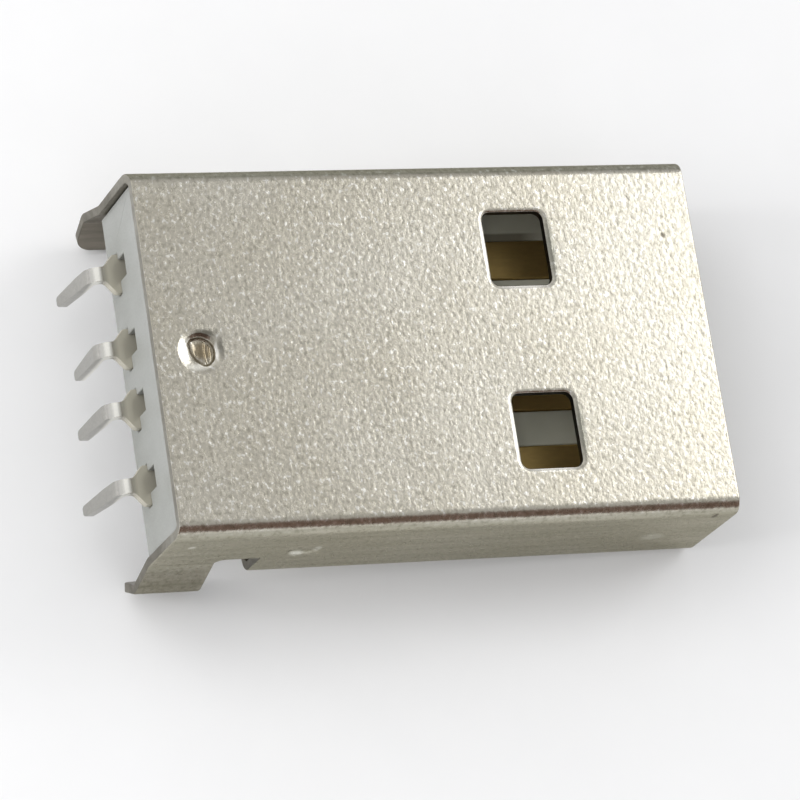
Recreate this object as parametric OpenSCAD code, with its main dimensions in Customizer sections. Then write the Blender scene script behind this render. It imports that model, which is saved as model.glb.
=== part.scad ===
// Right-angle plug for a circuit board: one folded shell, one moulded insulator, four stamped contacts.
// Frame: the origin is on the board plane, at the middle of the shell's underside.
// +X points out of the mating end, +Z points up from the board.

/* [Shell] */
// Outer width of the shell
shell_w = 12; // [11:0.1:14]
// Outer height of the shell
shell_h = 4.5; // [4.3:0.1:6]
// Length of the shell's top wall
shell_l = 18.85; // [17.5:0.05:24]
// Thickness of the shell's sheet
sheet_t = 0.3; // [0.2:0.02:0.36]
// Inside radius of the shell's four long folds
fold_r = 0.2; // [0.1:0.05:0.3]
// How far the side walls stand out behind the top wall
side_lead = 0.1; // [0:0.05:0.3]
// Distance from the top wall's rear edge to where the bottom wall starts
floor_start = 3.45; // [3:0.05:5]

/* [Seam] */
// Width of the seam where the two folded halves meet
seam_gap = 0.04; // [0.02:0.01:0.1]
// Width of a dovetail at its neck
tail_neck = 1.2; // [0.8:0.1:1.6]
// Width of a dovetail at its head
tail_head = 1.7; // [1.6:0.1:2.4]
// Reach of a dovetail across the seam
tail_reach = 0.95; // [0.6:0.05:1.2]
// Distance between the two dovetails
tail_pitch = 5.4; // [4:0.1:6.5]

/* [Windows] */
// Length of a latch window along the plug
window_l = 2.1; // [1.6:0.05:2.4]
// Width of a latch window across the plug
window_w = 2.5; // [2:0.05:2.8]
// Corner radius of a latch window
window_r = 0.28; // [0.1:0.02:0.5]
// Distance between the middles of the two windows
window_pitch = 6.12; // [5.6:0.02:6.6]
// Distance from the mating end to the window
window_setback = 5.18; // [4.6:0.02:5.6]

/* [Solder legs] */
// Width of a solder leg along the plug
leg_w = 2.15; // [1.6:0.05:2.6]
// Reach of a solder leg below the board plane
leg_drop = 1.7; // [1.3:0.05:2.6]
// Height of the cut between a leg and the bottom wall
relief_h = 1.7; // [1.4:0.05:2]
// Radius of the fillet at the top of that cut
relief_r = 0.35; // [0.1:0.05:0.5]
// Height at which the leg starts to lean outwards
kink_top = 1.4; // [1:0.05:1.6]
// Depth below the board plane at which the leg is widest
kink_depth = 0.4; // [0.2:0.05:0.7]
// How far the leg stands out there
kink_out = 0.4; // [0.2:0.05:0.6]
// How far the leg's tip comes back inside the shell's width
tip_in = 0.1; // [0:0.05:0.3]
// Inside radius of the bends in a leg
leg_bend_r = 0.3; // [0.1:0.05:0.5]
// Radius of the leg's rear lower corner
leg_heel_r = 0.55; // [0.2:0.05:0.8]
// Chamfer of the leg's front lower corner
leg_chamfer = 0.3; // [0.1:0.05:0.5]

/* [Stakes] */
// Diameter of the lanced stake in the top wall
stake_d = 1.42; // [1:0.02:1.8]
// Diameter of the stake's flat bottom
stake_floor_d = 0.84; // [0.6:0.02:0.95]
// Depth to which the stake is pressed
stake_depth = 0.22; // [0.1:0.01:0.25]
// Diameter of the sheared wall round the stake's front
stake_shear_d = 1.34; // [1:0.02:1.4]
// Distance from the stake's middle to where the sheared wall starts
stake_shear_x = 0.15; // [0:0.05:0.3]
// Distance from the top wall's rear edge to the stake's middle
stake_setback = 1.5; // [1.2:0.05:2.2]
// Length of the dimple in each side wall
dimple_l = 1; // [0.6:0.05:1.4]
// Height of the dimple in each side wall
dimple_h = 0.45; // [0.3:0.05:0.6]
// Depth of the dimple in each side wall
dimple_depth = 0.08; // [0.03:0.01:0.14]
// Distance from the top wall's rear edge to the dimple's middle
dimple_setback = 4.7; // [4.2:0.05:6]

/* [Insulator] */
// Clearance between the insulator and the shell
body_fit = 0.03; // [0.01:0.01:0.08]
// Distance from the top wall's rear edge to the insulator's rear face
body_inset = 0.1; // [0:0.05:0.3]
// Height of the insulator's underside above the board at the rear
body_lift = 0.95; // [0.7:0.05:1.3]
// Depth of the mating cavity above the tongue
mating_depth = 11.9; // [11.6:0.05:12.4]
// Height of the tongue's upper face above the board
tongue_top = 2.15; // [2:0.05:2.3]
// Distance from the mating end to the tongue's tip
tongue_setback = 0.4; // [0.2:0.05:0.8]
// Gap between the tongue and each side wall
tongue_side_gap = 0.12; // [0.05:0.01:0.3]
// Chamfer around the tongue's tip
tongue_chamfer = 0.3; // [0.1:0.05:0.5]
// Radius of the insulator's long edges
body_edge_r = 0.3; // [0.25:0.05:0.5]
// Width of the vent above a contact in the rear face
vent_w = 0.7; // [0.5:0.05:0.9]
// Height of the vent above a contact
vent_h = 0.66; // [0.3:0.02:0.9]
// Depth of the vent into the insulator
vent_depth = 1.1; // [0.5:0.05:2]
// How far the vent's middle lies beside the contact's middle
vent_shift = 0.09; // [0:0.01:0.2]

/* [Contacts] */
// Thickness of the contacts' strip
strip_t = 0.3; // [0.2:0.02:0.34]
// Width of a contact in the insulator
contact_w = 1.3; // [1:0.05:1.5]
// Clearance around a contact in the insulator
contact_fit = 0.02; // [0.01:0.01:0.05]
// How far a contact stands proud of the tongue
contact_proud = 0.06; // [0.02:0.01:0.1]
// Drop of the contact inside the insulator towards the rear
contact_drop = 0.3; // [0.15:0.05:0.4]
// Distance between the middles of the two inner contacts
inner_pitch = 2; // [1.8:0.05:2.1]
// Distance between an outer contact and its inner neighbour
outer_pitch = 2.5; // [2.2:0.05:2.5]
// Distance from the tongue's tip to the two outer contacts
outer_contact_setback = 1; // [0.7:0.05:1.5]
// Distance from the tongue's tip to the two inner contacts
inner_contact_setback = 2; // [1.7:0.05:2.5]

/* [Solder tails] */
// Width of a contact's solder tail
tail_w = 0.5; // [0.4:0.02:0.7]
// Width of the tail at its tip
tip_w = 0.35; // [0.2:0.02:0.38]
// Radius of the shoulder where a contact narrows to its tail
shoulder_r = 0.4; // [0.2:0.02:0.4]
// Distance from the insulator's rear face to that shoulder
shoulder_lead = 0.15; // [0:0.05:0.5]
// Inside radius of the bend into the tail
tail_bend_r = 0.22; // [0.15:0.01:0.5]
// Reach of the tails below the board plane
tail_drop = 0.7; // [0.4:0.05:2.5]
// Backward lean of the tails, in degrees: power, data minus, data plus, ground
tail_lean = [7, 0, 4, 9]; // [0:1:12]

/* [Hidden] */
$fn = 48;

// Cuts run this far past the faces that they open
over = 1;
// Pieces of one solid share this much material where they join
lap = 0.2;
// Flats that make up each bend of a strip
bend_steps = 10;

// Stations along X, from the middle of the shell's underside
rear_x = -(shell_l + floor_start) / 2;
front_x = rear_x + shell_l;
side_rear_x = rear_x - side_lead;
floor_x = rear_x + floor_start;
leg_front_x = side_rear_x + leg_w;
window_x = front_x - window_setback - window_l / 2;
stake_x = rear_x + stake_setback;
body_rear_x = rear_x + body_inset;
block_front_x = front_x - mating_depth;
tongue_tip_x = front_x - tongue_setback;

// The space inside the shell
inner_w = shell_w - 2 * sheet_t;
fold_outer_r = fold_r + sheet_t;
ceiling_z = shell_h - sheet_t;

// The insulator's section
body_w = inner_w - 2 * body_fit;
body_floor_z = sheet_t + body_fit;
body_top_z = ceiling_z - body_fit;
step_x = floor_x + body_lift - body_floor_z;

// The contacts: their places across the plug, then the heights of the strip in front of and behind its drop
inner_y = inner_pitch / 2;
outer_y = inner_y + outer_pitch;
contact_y = [outer_y, inner_y, -inner_y, -outer_y];
contact_top_z = tongue_top + contact_proud;
plate_top_z = contact_top_z - contact_drop;
drop_r = 0.3;
drop_angle = 35;
drop_run = contact_drop / sin(drop_angle) - 2 * drop_r * tan(drop_angle / 2);
drop_x = block_front_x - 1;
plate_end_x = body_rear_x - shoulder_lead;
neck_x = plate_end_x - shoulder_r;
taper_z = plate_top_z - strip_t - 0.8;
tip_chamfer = 0.07;

// A flat outline in X and Z, made solid across the whole width given
module across(width) {
    rotate([90, 0, 0]) linear_extrude(width, center = true) children();
}

// A flat outline in Y and Z, made solid from one X station to another
module along(from_x, to_x) {
    translate([from_x, 0, 0]) rotate([90, 0, 90]) linear_extrude(to_x - from_x) children();
}

// A rectangle with round corners, about its middle
module round_rect(size, r) {
    square([size.x - 2 * r, size.y], center = true);
    square([size.x, size.y - 2 * r], center = true);
    for (x = [-1, 1], y = [-1, 1]) translate([x * (size.x / 2 - r), y * (size.y / 2 - r)]) circle(r);
}

// One side of a strip of sheet seen on edge, moved off its middle line by the given amount. The strip
// starts at the origin, along +X. Each step is a straight run, then a bend in degrees, left if positive,
// with the radius of its middle line
function strip_side(steps, off, at = [0, 0], heading = 0, i = 0) = i == len(steps) ? [] :
    let (run = steps[i][0], turn = steps[i][1], r = sign(turn) * steps[i][2],
         corner = at + run * [cos(heading), sin(heading)],
         centre = corner + r * [-sin(heading), cos(heading)],
         places = turn == 0 ? [1] : [for (k = [0 : bend_steps]) k / bend_steps])
    concat(
        [for (k = places) let (a = heading + turn * k) centre + (off - r) * [-sin(a), cos(a)]],
        strip_side(steps, off, centre - r * [-sin(heading + turn), cos(heading + turn)], heading + turn, i + 1));

// The whole strip: out along one side and back along the other
module folded_strip(steps, thick) {
    back = strip_side(steps, -thick / 2);
    polygon(concat([[0, -thick / 2], [0, thick / 2]], strip_side(steps, thick / 2),
        [for (i = [len(back) - 1 : -1 : 0]) back[i]]));
}

// ---- Shell ----

module shell() {
    color("silver") difference() {
        union() {
            folded_tube();
            for (side = [0, 1]) mirror([0, side, 0]) solder_leg();
            translate([stake_x, 0, ceiling_z]) stake_form(sheet_t / 3);
        }
        translate([stake_x, 0, shell_h]) stake_form(over);
        for (side = [-1, 1]) translate([rear_x + dimple_setback, side * shell_w / 2, shell_h / 2]) side_dimple();
        for (side = [-1, 1]) translate([window_x, side * window_pitch / 2, -over])
            linear_extrude(shell_h + 2 * over) round_rect([window_l, window_w], window_r);
        translate([0, 0, -over]) linear_extrude(sheet_t + 2 * over) polygon(seam_outline());
    }
}

// The tube of folded sheet, open at the rear underside between the legs
module folded_tube() {
    difference() {
        translate([0, 0, shell_h / 2]) along(side_rear_x, front_x) difference() {
            round_rect([shell_w, shell_h], fold_outer_r);
            round_rect([inner_w, shell_h - 2 * sheet_t], fold_r);
        }
        across(shell_w + 2 * over) {
            translate([side_rear_x - over, shell_h - fold_outer_r]) square([side_lead + over, fold_outer_r + over]);
            translate([side_rear_x - over, -over]) square([floor_x - side_rear_x + over, relief_h + over]);
        }
    }
}

// A solder leg on the +Y side: a kinked strip trimmed to the leg's outline
module solder_leg() {
    lean_out = atan(kink_out / (kink_top + kink_depth));
    lean_in = atan((kink_out + tip_in) / (leg_drop - kink_depth));
    root_z = relief_h + lap;
    intersection() {
        along(side_rear_x, leg_front_x + relief_r)
            translate([(shell_w - sheet_t) / 2, root_z]) rotate(-90) folded_strip([
                [root_z - kink_top, lean_out, leg_bend_r + sheet_t / 2],
                [(kink_top + kink_depth) / cos(lean_out) - leg_bend_r, -lean_out - lean_in, leg_bend_r + sheet_t / 2],
                [leg_drop + over, 0, 0]], sheet_t);
        across(shell_w + 4 * over) leg_outline(root_z);
    }
}

// The leg seen from the side, with its fillet, round heel and front chamfer
module leg_outline(root_z) {
    difference() {
        translate([side_rear_x, -leg_drop]) square([leg_w, leg_drop + root_z]);
        translate([side_rear_x, -leg_drop]) difference() {
            translate([-over, -over]) square(leg_heel_r + over);
            translate([leg_heel_r, leg_heel_r]) circle(leg_heel_r);
        }
        translate([leg_front_x, -leg_drop]) rotate(45)
            square([2 * leg_chamfer, leg_chamfer * sqrt(2)], center = true);
    }
    translate([leg_front_x, relief_h - relief_r]) difference() {
        square([relief_r, relief_r + lap]);
        translate([relief_r, 0]) circle(relief_r);
    }
}

// The stake pressed down from the face at z = 0: a dish, sheared to a steep wall round its front
module stake_form(above) {
    h = stake_depth + above;
    slope = (stake_d - stake_floor_d) / stake_depth;
    translate([0, 0, -stake_depth]) {
        cylinder(h = h, d1 = stake_floor_d, d2 = stake_floor_d + slope * h);
        intersection() {
            cylinder(h = h, d = stake_shear_d);
            translate([stake_shear_x, -stake_d, -over]) cube([stake_d, 2 * stake_d, h + 2 * over]);
        }
    }
}

// A shallow coined slot in a side wall
module side_dimple() {
    across(2 * dimple_depth) {
        square([dimple_l - dimple_h, dimple_h], center = true);
        for (end = [-1, 1]) translate([end * (dimple_l - dimple_h) / 2, 0]) circle(d = dimple_h);
    }
}

// The seam's line along the underside: straight, with a dovetail at each place given
function dovetail(x, side) = [
    [x - tail_neck / 2, 0], [x - tail_head / 2, side * tail_reach],
    [x + tail_head / 2, side * tail_reach], [x + tail_neck / 2, 0]];
function seam_line() = concat(
    [[floor_x - over, 0]], dovetail(-tail_pitch, -1), dovetail(0, 1), [[front_x + over, 0]]);

// The unit normal of the stretch between two points, and the line moved sideways by half the gap
function normal(a, b) = [a.y - b.y, b.x - a.x] / norm(b - a);
function shifted(line, by) = [for (i = [0 : len(line) - 1])
    let (before = normal(line[max(i - 1, 0)], line[max(i, 1)]),
         after = normal(line[min(i, len(line) - 2)], line[min(i + 1, len(line) - 1)]))
    line[i] + by * (before + after) / (1 + before * after)];
function seam_outline() = let (above = shifted(seam_line(), seam_gap / 2), below = shifted(seam_line(), -seam_gap / 2))
    concat(above, [for (i = [len(below) - 1 : -1 : 0]) below[i]]);

// ---- Insulator ----

module insulator() {
    color("white") difference() {
        union() {
            intersection() {
                across(shell_w) block_outline();
                along(body_rear_x, block_front_x) translate([0, (body_floor_z + body_top_z) / 2])
                    round_rect([body_w, body_top_z - body_floor_z], body_edge_r);
            }
            tongue();
        }
        for (i = [0 : 3]) contact_channel(i);
        for (y = contact_y) translate([body_rear_x - over, y + vent_shift - vent_w / 2, plate_top_z - lap])
            cube([vent_depth + over, vent_w, vent_h + lap]);
        translate([stake_x, 0, ceiling_z - stake_depth - body_fit - contact_fit])
            cylinder(h = over, d = stake_d + 2 * body_fit);
    }
}

// The block behind the mating cavity: its underside steps down onto the bottom wall
module block_outline() {
    polygon([
        [body_rear_x, body_lift], [floor_x, body_lift], [step_x, body_floor_z],
        [block_front_x, body_floor_z], [block_front_x, body_top_z], [body_rear_x, body_top_z]]);
}

// The tongue that carries the contacts, chamfered all round its tip
module tongue() {
    tongue_w = inner_w - 2 * tongue_side_gap;
    tip = tongue_tip_x;
    c = tongue_chamfer;
    intersection() {
        across(tongue_w) polygon([
            [step_x, body_floor_z], [tip - c, body_floor_z], [tip, body_floor_z + c], [tip, tongue_top - c / 2],
            [tip - c / 2, tongue_top], [step_x, tongue_top]]);
        translate([0, 0, body_floor_z]) linear_extrude(tongue_top) polygon([
            [step_x, tongue_w / 2], [step_x, -tongue_w / 2], [tip - c, -tongue_w / 2], [tip, c - tongue_w / 2],
            [tip, tongue_w / 2 - c], [tip - c, tongue_w / 2]]);
        along(step_x, tip) translate([0, (body_floor_z + body_top_z) / 2])
            round_rect([tongue_w, body_top_z - body_floor_z], body_edge_r);
    }
}

// The passage for one contact: its own strip with clearance all round
module contact_channel(i) {
    translate([0, contact_y[i], 0]) intersection() {
        across(contact_w + 2 * contact_fit) strip_profile(i, contact_fit);
        along(body_rear_x - over, contact_tip_x(i) + contact_fit) square([shell_w, 2 * shell_h], center = true);
    }
}

// ---- Contacts ----

function contact_tip_x(i) = tongue_tip_x - (i == 0 || i == 3 ? outer_contact_setback : inner_contact_setback);

// A contact's strip seen on edge, from its front end back through the drop to the tail's tip
module strip_profile(i, grow = 0) {
    thick = strip_t + 2 * grow;
    translate([contact_tip_x(i) + grow, contact_top_z - strip_t / 2]) mirror([1, 0]) folded_strip([
        [contact_tip_x(i) + grow - drop_x, -drop_angle, drop_r],
        [drop_run, drop_angle, drop_r],
        [drop_x - neck_x - 2 * drop_r * sin(drop_angle) - drop_run * cos(drop_angle),
            tail_lean[i] - 90, tail_bend_r + strip_t / 2],
        [plate_top_z + tail_drop, 0, 0]], thick);
}

// The contact's outline from above: full width, then round shoulders down to the tail
module plan_outline(i) {
    tip = contact_tip_x(i);
    translate([plate_end_x, -contact_w / 2]) square([tip - plate_end_x, contact_w]);
    translate([neck_x - over, -tail_w / 2]) square([plate_end_x - neck_x + 2 * over, tail_w]);
    translate([plate_end_x, shoulder_r - contact_w / 2]) circle(shoulder_r);
    translate([plate_end_x, contact_w / 2 - shoulder_r]) circle(shoulder_r);
}

// The contact's outline from behind: the tail tapers to a blunt tip
module tail_outline() {
    c = tip_chamfer;
    translate([-contact_w / 2, taper_z]) square([contact_w, contact_top_z + over - taper_z]);
    polygon([
        [-tail_w / 2, taper_z + lap], [-tail_w / 2, taper_z], [-tip_w / 2, c - tail_drop],
        [c - tip_w / 2, -tail_drop], [tip_w / 2 - c, -tail_drop],
        [tip_w / 2, c - tail_drop], [tail_w / 2, taper_z], [tail_w / 2, taper_z + lap]]);
}

module contact(i) {
    tip = contact_tip_x(i);
    color(i == 0 || i == 3 ? "goldenrod" : "gold") translate([0, contact_y[i], 0]) difference() {
        intersection() {
            across(contact_w) strip_profile(i);
            translate([0, 0, -shell_h]) linear_extrude(2 * shell_h) plan_outline(i);
            along(neck_x - 2 * over, tip) tail_outline();
        }
        translate([tip, 0, contact_top_z]) rotate([0, 45, 0]) cube([strip_t / 2, contact_w + over, strip_t / 2], center = true);
    }
}

module contact_vbus() contact(0);
module contact_d_minus() contact(1);
module contact_d_plus() contact(2);
module contact_gnd() contact(3);

shell();
insulator();
contact_vbus();
contact_d_minus();
contact_d_plus();
contact_gnd();
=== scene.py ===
"""Finishes a plug for a circuit board: plated shell, white moulding, four stamped contacts."""

import math

import bmesh
import bpy
from bpy.props import FloatProperty, FloatVectorProperty, PointerProperty
from mathutils import Matrix, Quaternion, Vector
from mathutils.geometry import delaunay_2d_cdt


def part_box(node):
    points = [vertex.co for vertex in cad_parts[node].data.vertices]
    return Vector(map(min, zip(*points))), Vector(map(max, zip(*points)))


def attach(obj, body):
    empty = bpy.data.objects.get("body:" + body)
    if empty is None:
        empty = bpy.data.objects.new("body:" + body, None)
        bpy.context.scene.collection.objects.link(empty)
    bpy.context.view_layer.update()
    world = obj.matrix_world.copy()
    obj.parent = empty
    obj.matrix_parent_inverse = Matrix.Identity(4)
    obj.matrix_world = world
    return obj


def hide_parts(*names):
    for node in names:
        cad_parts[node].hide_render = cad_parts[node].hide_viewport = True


bl_info = {
    "name": "Board plug finishes",
    "version": (1, 0, 0),
    "blender": (4, 5, 0),
    "location": "3D View > Sidebar > Plug",
    "description": "Dresses a board plug with plated sheet, moulded plastic and stamped contacts",
    "category": "Object",
}

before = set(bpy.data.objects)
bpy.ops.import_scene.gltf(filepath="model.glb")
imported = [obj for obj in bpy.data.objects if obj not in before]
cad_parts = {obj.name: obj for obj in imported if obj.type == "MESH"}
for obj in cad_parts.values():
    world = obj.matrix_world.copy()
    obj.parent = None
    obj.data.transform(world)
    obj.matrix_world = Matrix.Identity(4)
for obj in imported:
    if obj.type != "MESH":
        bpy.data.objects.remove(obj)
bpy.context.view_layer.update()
MM = 0.001


# ---- Settings ----


def length(name, description, millimetres):
    """A size property, given in millimetres and kept in metres."""
    return FloatProperty(
        name=name,
        description=description,
        default=millimetres * MM,
        min=0,
        unit="LENGTH",
        precision=6,
    )


def angle(name, description, degrees):
    """An angle property, given in degrees."""
    return FloatProperty(
        name=name, description=description, default=math.radians(degrees), subtype="ANGLE"
    )


def colour(name, description, rgb):
    """A colour property."""
    return FloatVectorProperty(
        name=name, description=description, default=rgb, size=3, subtype="COLOR", min=0, max=1
    )


def share(name, description, value):
    """A property from 0 to 1."""
    return FloatProperty(
        name=name, description=description, default=value, min=0, max=1, subtype="FACTOR"
    )


def sizes(settings):
    """The lengths among the settings, by name, in millimetres."""
    properties = settings.bl_rna.properties
    keys = [key for key in settings.__annotations__ if properties[key].unit == "LENGTH"]
    return {key: getattr(settings, key) / MM for key in keys}


class ShellSettings(bpy.types.PropertyGroup):
    """Sizes, edges and plating of the folded shell."""

    sheet: length("Sheet", "Thickness of the shell's sheet", 0.3)
    fold: length("Fold", "Outer radius of the four long folds", 0.5)
    seam_gap: length("Seam gap", "Width of the seam underneath", 0.04)
    tail_reach: length("Dovetail reach", "Reach of a dovetail across the seam", 0.95)
    window_long: length("Window length", "Length of a latch window along the plug", 2.1)
    window_wide: length("Window width", "Width of a latch window across the plug", 2.5)
    window_pitch: length("Window pitch", "Distance between the middles of two windows", 6.12)
    window_setback: length("Window setback", "Distance from the mating end to a window", 5.18)
    window_corner: length("Window corner", "Corner radius of a latch window", 0.28)
    leg_long: length("Leg width", "Width of a solder leg along the plug", 2.15)
    leg_heel: length("Leg heel", "Radius of a leg's rear lower corner", 0.55)
    leg_chamfer: length("Leg chamfer", "Chamfer of a leg's front lower corner", 0.3)
    floor_start: length("Floor start", "Distance from the top wall's rear to the bottom wall", 3.45)
    relief_height: length("Relief height", "Height of the cut in front of a leg", 1.7)
    relief_corner: length("Relief corner", "Radius at the top of that cut", 0.35)
    side_lead: length("Side lead", "How far the side walls stand out behind the top wall", 0.1)
    stake_setback: length("Stake setback", "Distance from the top wall's rear edge to it", 1.5)
    stake_depth: length("Stake depth", "Depth of the stake's floor", 0.22)
    dimple_setback: length("Dimple setback", "Distance from that edge to a side dimple", 4.7)
    edge_break: length("Edge break", "Rounding of the sheared edges", 0.06)
    punch_roll: length("Punch roll-over", "Rounding of the window rims at the top", 0.15)
    burr: length("Burr side", "Rounding of the edges on the sheet's inner face", 0.025)
    inner: colour("Inner face", "Colour of the sheet's inner face", (0.27, 0.245, 0.205))
    nickel: colour("Nickel", "Colour of the plating", (0.555, 0.53, 0.46))
    nickel_warm: colour("Warm nickel", "Colour of the yellowed plating", (0.53, 0.50, 0.42))
    cut_edge: colour("Cut edge", "Colour of the sheared edges", (0.34, 0.325, 0.28))
    roughness: share("Roughness", "Roughness of the plating between its grains", 0.25)
    grain: length("Grain", "Size of the grains of the satin plating", 0.12)
    grain_depth: length("Grain depth", "Height of the grains", 0.006)


class InsulatorSettings(bpy.types.PropertyGroup):
    """Edges and plastic of the moulding."""

    edge_break: length("Edge break", "Rounding of the moulded edges", 0.04)
    plastic: colour("Plastic", "Colour of the moulding", (0.90, 0.92, 0.875))
    plastic_shade: colour("Shaded plastic", "Colour of its flow marks", (0.74, 0.76, 0.70))
    roughness: share("Roughness", "Roughness of the moulded face", 0.42)


class ContactSettings(bpy.types.PropertyGroup):
    """Sizes and plating of the four contacts."""

    thickness: length("Strip", "Thickness of the strip", 0.3)
    width: length("Width", "Width of a contact on the tongue", 1.3)
    tail_width: length("Tail width", "Width of a solder tail", 0.5)
    tip_width: length("Tip width", "Width of a solder tail at its tip", 0.35)
    shoulder: length("Shoulder", "Radius of the shoulder before the tail", 0.4)
    bend: length("Bend", "Inside radius of the bend into the tail", 0.22)
    edge_round: length("Edge round", "Rounding of the stamped edges", 0.05)
    tin: colour("Tin", "Colour of the tinned tails", (0.45, 0.44, 0.41))
    warm: colour("Warm tin", "Colour of the plates behind the tails", (0.43, 0.405, 0.33))
    gold: colour("Gold", "Colour of the plated contact faces", (0.56, 0.40, 0.15))


class StageSettings(bpy.types.PropertyGroup):
    """Floor, lamps and camera."""

    floor: colour("Floor", "Colour of the floor", (0.90, 0.90, 0.905))
    azimuth: angle("Azimuth", "Direction of the camera round the plug", -51.368)
    elevation: angle("Elevation", "Height of the camera above the horizon", 62.203)
    roll: angle("Roll", "Turn of the camera about its own axis", 45.756)
    distance: length("Distance", "Distance of the camera from its target", 151.1)
    lens: FloatProperty(name="Lens", description="Focal length", default=213.87, unit="CAMERA")


# ---- Nodes ----


def add(tree, kind, inputs=None, **settings):
    """Adds one node; an input is a number, a colour, or the socket that feeds it."""
    node = tree.nodes.new(kind)
    for key, value in settings.items():
        setattr(node, key, value)
    for key, value in (inputs or {}).items():
        if isinstance(value, bpy.types.NodeSocket):
            tree.links.new(value, node.inputs[key])
        else:
            node.inputs[key].default_value = value
    return node


def new_material(name):
    """An empty material's tree, its place in space, and its shader joined to the output."""
    material = bpy.data.materials.new(name)
    material.use_nodes = True
    tree = material.node_tree
    tree.nodes.clear()
    shader = add(tree, "ShaderNodeBsdfPrincipled")
    add(tree, "ShaderNodeOutputMaterial", {"Surface": shader.outputs[0]})
    place = add(tree, "ShaderNodeTexCoord").outputs["Object"]
    return material, tree, shader, place


def axes(tree, place):
    """The X, Y and Z of a place."""
    return add(tree, "ShaderNodeSeparateXYZ", {"Vector": place}).outputs


def noise(tree, place, size, detail=2.0, roughness=0.5, output="Fac"):
    """Noise whose lumps are about the given size in metres."""
    inputs = {"Vector": place, "Scale": 1 / size, "Detail": detail, "Roughness": roughness}
    return add(tree, "ShaderNodeTexNoise", inputs).outputs[output]


def ramp(tree, value, low, high, start=0.0, end=1.0):
    """Maps a value from low..high to start..end, and holds it there beyond."""
    inputs = {"Value": value, "From Min": low, "From Max": high, "To Min": start, "To Max": end}
    return add(tree, "ShaderNodeMapRange", inputs).outputs["Result"]


def fade(tree, value, start, full):
    """A mask that grows from 0 at the start to 1 where it is full; both are in millimetres."""
    if start < full:
        return ramp(tree, value, start * MM, full * MM)
    return ramp(tree, value, full * MM, start * MM, 1, 0)


def band(tree, value, start, full, fading, gone):
    """A mask that is 1 between full and fading; all are in millimetres."""
    return times(tree, fade(tree, value, start, full), fade(tree, value, gone, fading))


def mix(tree, factor, first, second, blend_type="MIX"):
    """Mixes two colours."""
    node = add(tree, "ShaderNodeMix", data_type="RGBA", blend_type=blend_type)
    for key, value in ((0, factor), (6, first), (7, second)):
        if isinstance(value, bpy.types.NodeSocket):
            tree.links.new(value, node.inputs[key])
        elif key == 0:
            node.inputs[key].default_value = value
        else:
            node.inputs[key].default_value = (*value, 1)
    return node.outputs[2]


def dim(rgb, share_left):
    """A colour with only a share of its light left."""
    return tuple(share_left * c for c in rgb)


def maths(tree, operation, *values):
    """One step of arithmetic on values."""
    return add(tree, "ShaderNodeMath", dict(enumerate(values)), operation=operation).outputs[0]


def vector_maths(tree, operation, *values):
    """One step of arithmetic on vectors, as a node."""
    return add(tree, "ShaderNodeVectorMath", dict(enumerate(values)), operation=operation)


def times(tree, first, second):
    """Multiplies two values."""
    return maths(tree, "MULTIPLY", first, second)


def stretch(tree, place, *scales):
    """Place coordinates scaled along each axis, to draw a pattern out."""
    return add(tree, "ShaderNodeMapping", {"Vector": place, "Scale": scales}).outputs[0]


def bump(tree, height, distance, normal=None):
    """Raises the surface by a height, in metres."""
    inputs = {"Height": height, "Distance": distance}
    if normal:
        inputs["Normal"] = normal
    return add(tree, "ShaderNodeBump", inputs).outputs["Normal"]


# ---- Materials ----

# Zones of the finishes along one axis, in millimetres: where each starts to show and where it shows
# in full, and for a band also where it starts to fade and where it is gone
SIDE_WALLS = (5.83, 5.92)
LEG_LENGTH, LEG_HEIGHT = (-8.9, -9.3), (1.6, 0.9)
FAR_FOLD_WIDTH, FAR_FOLD_HEIGHT = (5.60, 5.70), (3.9, 4.05)
WINDOW_EDGE_SHADE, EDGE_FOOT = (-0.5, 0), (3.8, 2.5)
TONGUE = (-4.3, -4.1)
SHADED_WIDTH = (4.13, 4.17, 4.40, 4.46)
SHADED_HEIGHT, SHADED_LENGTH = (2.05, 2.10), (3.5, 2.7)
WARM_TIN = (-11.9, -11.2)
DULL_PLATE = (-11.7, -11.4, -9.6, -9.2)
PAINTED_NECK_HIGHLIGHT = (-12.0, -11.88, -11.72, -11.60)
GILT = (-5.0, -4.6)

# Colours of the painted highlights on the windows' rims and on the stake's walls
PAINTED_RIM_HIGHLIGHT, PAINTED_WALL_HIGHLIGHT = (0.97, 0.95, 0.88), (0.95, 0.93, 0.84)
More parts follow.
